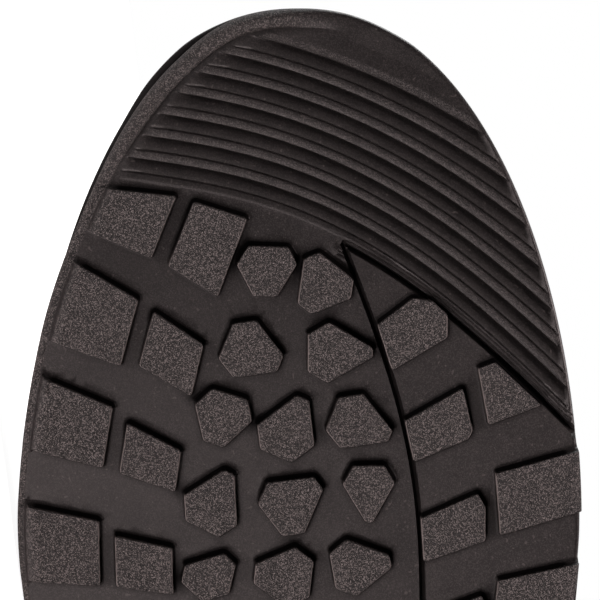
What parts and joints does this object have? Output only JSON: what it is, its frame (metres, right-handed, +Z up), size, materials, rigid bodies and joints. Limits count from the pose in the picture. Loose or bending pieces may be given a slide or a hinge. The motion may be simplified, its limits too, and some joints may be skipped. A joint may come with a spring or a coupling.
{
  "type": "motorcycle boot",
  "caption": "Tall pull-on riding boot lying on its side: lugged rubber outsole with toe ribs and heel, midsole plate, insole, and a hollow leather upper open at the collar.",
  "frame": {"origin": "middle of the boot's box, on the floor that it lies on", "axes": "+Z up with the medial side on top, -Y the way the tread faces, -X towards the toe, +Y along the shaft to the collar"},
  "size_m": [0.3054, 0.3096, 0.1153],
  "materials": {
    "outsole_rubber": "black moulded rubber, spark-textured lug tops, smooth ground between them",
    "midsole_rubber": "matt black rubber",
    "insole_board": "felted board",
    "black_leather": "grained black leather, low sheen"
  },
  "bodies": {
    "root": {"outsole": "outsole_rubber", "midsole": "midsole_rubber", "insole": "insole_board", "upper": "black_leather"}
  },
  "joints": []
}
